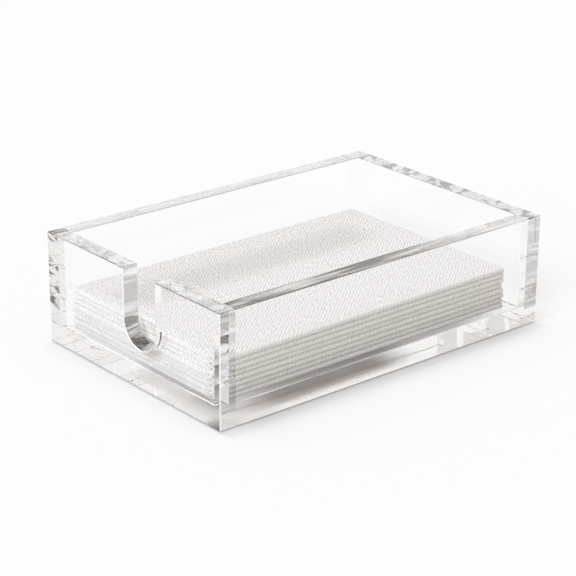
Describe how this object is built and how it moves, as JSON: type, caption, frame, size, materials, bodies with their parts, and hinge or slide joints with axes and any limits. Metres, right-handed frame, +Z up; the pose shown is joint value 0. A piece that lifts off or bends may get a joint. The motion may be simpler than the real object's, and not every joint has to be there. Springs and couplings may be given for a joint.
{
  "type": "napkin holder",
  "caption": "Open rectangular tray of thick clear acrylic plates with a finger notch in one short wall, on bumper feet, holding a flat stack of folded napkins.",
  "frame": {"origin": "on the table, under the middle of the tray", "axes": "+X along the tray from the notched front wall to the plain rear wall, +Y across it to the left wall, +Z up"},
  "size_m": [0.229, 0.1524, 0.0657],
  "materials": {
    "clear_acrylic": "polished",
    "clear_bumper": "satin",
    "white_napkin": "matte"
  },
  "bodies": {
    "tray": {"base_plate": "clear_acrylic", "left_wall": "clear_acrylic", "right_wall": "clear_acrylic", "front_wall": "clear_acrylic", "rear_wall": "clear_acrylic", "front_left_foot": "clear_bumper", "front_right_foot": "clear_bumper", "rear_left_foot": "clear_bumper", "rear_right_foot": "clear_bumper"},
    "napkin_1": {"napkin_1": "white_napkin"},
    "napkin_2": {"napkin_2": "white_napkin"},
    "napkin_3": {"napkin_3": "white_napkin"},
    "napkin_4": {"napkin_4": "white_napkin"},
    "napkin_5": {"napkin_5": "white_napkin"},
    "napkin_6": {"napkin_6": "white_napkin"},
    "napkin_7": {"napkin_7": "white_napkin"},
    "napkin_8": {"napkin_8": "white_napkin"}
  },
  "joints": [
    {"name": "napkin_1_lift", "type": "slide", "parent": "tray", "child": "napkin_1", "axis": [0, 0, 1], "range_m": [0, 0.06]},
    {"name": "napkin_2_lift", "type": "slide", "parent": "napkin_1", "child": "napkin_2", "axis": [0, 0, 1], "range_m": [0, 0.057]},
    {"name": "napkin_3_lift", "type": "slide", "parent": "napkin_2", "child": "napkin_3", "axis": [0, 0, 1], "range_m": [0, 0.054]},
    {"name": "napkin_4_lift", "type": "slide", "parent": "napkin_3", "child": "napkin_4", "axis": [0, 0, 1], "range_m": [0, 0.051]},
    {"name": "napkin_5_lift", "type": "slide", "parent": "napkin_4", "child": "napkin_5", "axis": [0, 0, 1], "range_m": [0, 0.048]},
    {"name": "napkin_6_lift", "type": "slide", "parent": "napkin_5", "child": "napkin_6", "axis": [0, 0, 1], "range_m": [0, 0.045]},
    {"name": "napkin_7_lift", "type": "slide", "parent": "napkin_6", "child": "napkin_7", "axis": [0, 0, 1], "range_m": [0, 0.042]},
    {"name": "napkin_8_lift", "type": "slide", "parent": "napkin_7", "child": "napkin_8", "axis": [0, 0, 1], "range_m": [0, 0.039]}
  ]
}
